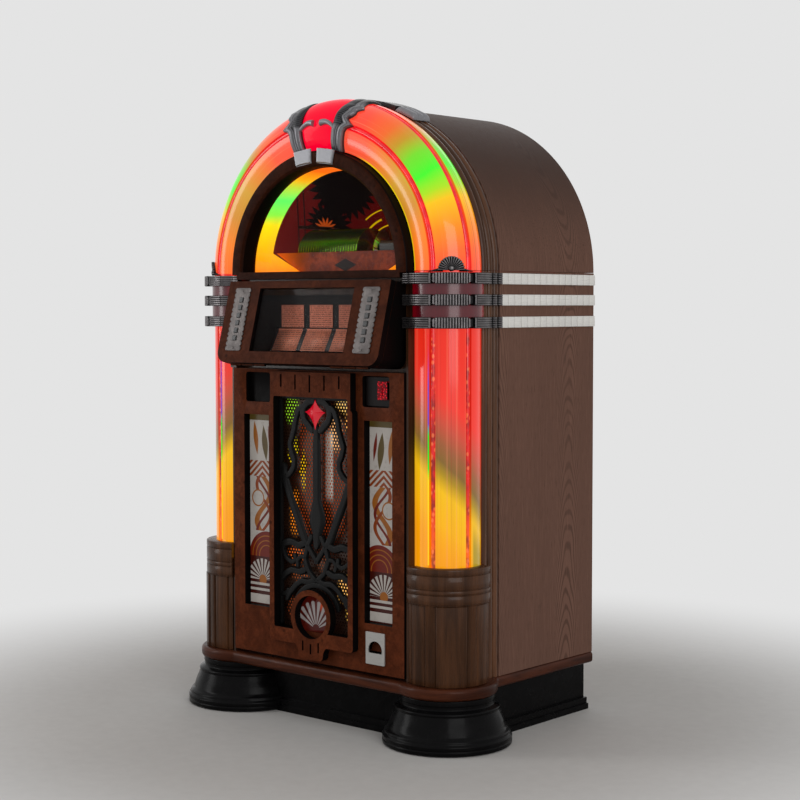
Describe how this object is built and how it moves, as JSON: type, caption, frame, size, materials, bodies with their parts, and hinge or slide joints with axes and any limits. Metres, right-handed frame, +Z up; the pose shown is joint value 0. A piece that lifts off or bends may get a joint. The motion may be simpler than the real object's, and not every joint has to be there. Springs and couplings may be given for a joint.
{
  "type": "cd jukebox",
  "caption": "Floor-standing disc jukebox with an arched lit dome, window, leaning title console, grille door and turned front feet.",
  "frame": {"origin": "on the floor, under the middle of the cabinet's overall box", "axes": "+Z up, +Y to the back, +X to the right as seen from the front"},
  "size_m": [0.982, 0.675, 1.5355],
  "materials": {
    "side_veneer": "satin lacquer",
    "burl_veneer": "gloss lacquer",
    "dark_wood": "satin lacquer",
    "board": "raw board",
    "black_lacquer": "gloss lacquer",
    "lit_column": "lit translucent",
    "lit_arch": "lit translucent",
    "lit_liner": "lit translucent",
    "tube": "clear",
    "sleeve": "gloss",
    "chrome": "polished",
    "plate_grey": "matt",
    "black_plastic": "matt",
    "black_metal": "satin",
    "gilt_mesh": "satin",
    "jewel": "lit translucent",
    "art_glass": "patterned",
    "clear_glass": "clear",
    "disc": "mirror-like",
    "rack_plastic": "matt",
    "paper": "matt"
  },
  "bodies": {
    "cabinet": {"side_panels": "side_veneer", "back_panel": "board", "base_board": "dark_wood", "plinth": "black_lacquer", "front_feet": "black_lacquer", "front_frame": "dark_wood", "column_plastics": "lit_column", "bubble_tubes": "tube", "column_covers": "burl_veneer", "corner_mouldings": "dark_wood", "belt_bands": "chrome", "belt_sleeves": "sleeve", "console_housing": "dark_wood", "title_page_holder": "black_plastic", "mech_deck": "board", "fascia_board": "burl_veneer", "disc_rack": "rack_plastic", "stored_discs": "disc", "player_base": "rack_plastic", "amplifier": "black_metal", "speakers": "black_metal"},
    "lid": {"lid_shell": "side_veneer", "lid_moulding": "dark_wood", "arch_plastic": "lit_arch", "arch_tubes": "tube", "window_frame": "burl_veneer", "window_glass": "clear_glass", "arch_liner": "lit_liner", "lid_back_panel": "board", "crown_castings": "chrome", "crown_lens": "jewel", "crown_cap": "black_metal", "shell_ornaments": "chrome"},
    "lower_door": {"lower_door_panel": "burl_veneer", "grille_frame": "dark_wood", "grille_mesh": "gilt_mesh", "grille_ornament": "black_metal", "grille_jewel": "jewel", "art_glasses": "art_glass", "coin_return_plate": "chrome", "coin_entry": "black_plastic"},
    "coin_flap": {"coin_return_flap": "black_plastic"},
    "title_door": {"title_frame": "burl_veneer", "title_glass": "clear_glass", "selector_plates": "plate_grey"},
    "title_leaf": {"title_leaf": "paper"},
    "carriage": {"carriage": "black_metal"},
    "playing_disc": {"playing_disc": "disc"},
    "button_left_1": {"button_left_1": "black_plastic"},
    "button_left_2": {"button_left_2": "black_plastic"},
    "button_left_3": {"button_left_3": "black_plastic"},
    "button_left_4": {"button_left_4": "black_plastic"},
    "button_left_5": {"button_left_5": "black_plastic"},
    "button_left_6": {"button_left_6": "black_plastic"},
    "button_right_1": {"button_right_1": "black_plastic"},
    "button_right_2": {"button_right_2": "black_plastic"},
    "button_right_3": {"button_right_3": "black_plastic"},
    "button_right_4": {"button_right_4": "black_plastic"},
    "button_right_5": {"button_right_5": "black_plastic"},
    "button_right_6": {"button_right_6": "black_plastic"}
  },
  "joints": [
    {"name": "lid_hinge", "type": "hinge", "parent": "cabinet", "child": "lid", "pos_m": [0, 0.3325, 1.1105], "axis": [-1, 0, 0], "range_deg": [0, 40]},
    {"name": "lower_door_hinge", "type": "hinge", "parent": "cabinet", "child": "lower_door", "pos_m": [-0.281, -0.2555, 0.5], "axis": [0, 0, -1], "range_deg": [0, 90]},
    {"name": "coin_flap_hinge", "type": "hinge", "parent": "lower_door", "child": "coin_flap", "pos_m": [0.196, -0.2505, 0.21], "axis": [-1, 0, 0], "range_deg": [0, 38], "stiffness_Nm_per_rad": 0.01, "springref_deg": -17.19},
    {"name": "title_door_hinge", "type": "hinge", "parent": "cabinet", "child": "title_door", "pos_m": [0, -0.31981, 0.88581], "axis": [1, 0, 0], "range_deg": [0, 50]},
    {"name": "title_leaf_turn", "type": "hinge", "parent": "cabinet", "child": "title_leaf", "pos_m": [0, -0.2425, 0.971], "axis": [-1, 0, 0], "range_deg": [0, 145]},
    {"name": "carriage_slide", "type": "slide", "parent": "cabinet", "child": "carriage", "axis": [1, 0, 0], "range_m": [0, 0.38]},
    {"name": "disc_spin", "type": "hinge", "parent": "cabinet", "child": "playing_disc", "pos_m": [0.0626, -0.0575, 1.163], "axis": [1, 0, 0], "continuous": true},
    {"name": "button_left_1_press", "type": "slide", "parent": "title_door", "child": "button_left_1", "axis": [0, 0.9666, -0.2562], "range_m": [0, 0.0025], "stiffness_N_per_m": 250, "springref_m": -0.001},
    {"name": "button_left_2_press", "type": "slide", "parent": "title_door", "child": "button_left_2", "axis": [0, 0.9666, -0.2562], "range_m": [0, 0.0025], "stiffness_N_per_m": 250, "springref_m": -0.001},
    {"name": "button_left_3_press", "type": "slide", "parent": "title_door", "child": "button_left_3", "axis": [0, 0.9666, -0.2562], "range_m": [0, 0.0025], "stiffness_N_per_m": 250, "springref_m": -0.001},
    {"name": "button_left_4_press", "type": "slide", "parent": "title_door", "child": "button_left_4", "axis": [0, 0.9666, -0.2562], "range_m": [0, 0.0025], "stiffness_N_per_m": 250, "springref_m": -0.001},
    {"name": "button_left_5_press", "type": "slide", "parent": "title_door", "child": "button_left_5", "axis": [0, 0.9666, -0.2562], "range_m": [0, 0.0025], "stiffness_N_per_m": 250, "springref_m": -0.001},
    {"name": "button_left_6_press", "type": "slide", "parent": "title_door", "child": "button_left_6", "axis": [0, 0.9666, -0.2562], "range_m": [0, 0.0025], "stiffness_N_per_m": 250, "springref_m": -0.001},
    {"name": "button_right_1_press", "type": "slide", "parent": "title_door", "child": "button_right_1", "axis": [0, 0.9666, -0.2562], "range_m": [0, 0.0025], "stiffness_N_per_m": 250, "springref_m": -0.001},
    {"name": "button_right_2_press", "type": "slide", "parent": "title_door", "child": "button_right_2", "axis": [0, 0.9666, -0.2562], "range_m": [0, 0.0025], "stiffness_N_per_m": 250, "springref_m": -0.001},
    {"name": "button_right_3_press", "type": "slide", "parent": "title_door", "child": "button_right_3", "axis": [0, 0.9666, -0.2562], "range_m": [0, 0.0025], "stiffness_N_per_m": 250, "springref_m": -0.001},
    {"name": "button_right_4_press", "type": "slide", "parent": "title_door", "child": "button_right_4", "axis": [0, 0.9666, -0.2562], "range_m": [0, 0.0025], "stiffness_N_per_m": 250, "springref_m": -0.001},
    {"name": "button_right_5_press", "type": "slide", "parent": "title_door", "child": "button_right_5", "axis": [0, 0.9666, -0.2562], "range_m": [0, 0.0025], "stiffness_N_per_m": 250, "springref_m": -0.001},
    {"name": "button_right_6_press", "type": "slide", "parent": "title_door", "child": "button_right_6", "axis": [0, 0.9666, -0.2562], "range_m": [0, 0.0025], "stiffness_N_per_m": 250, "springref_m": -0.001}
  ]
}
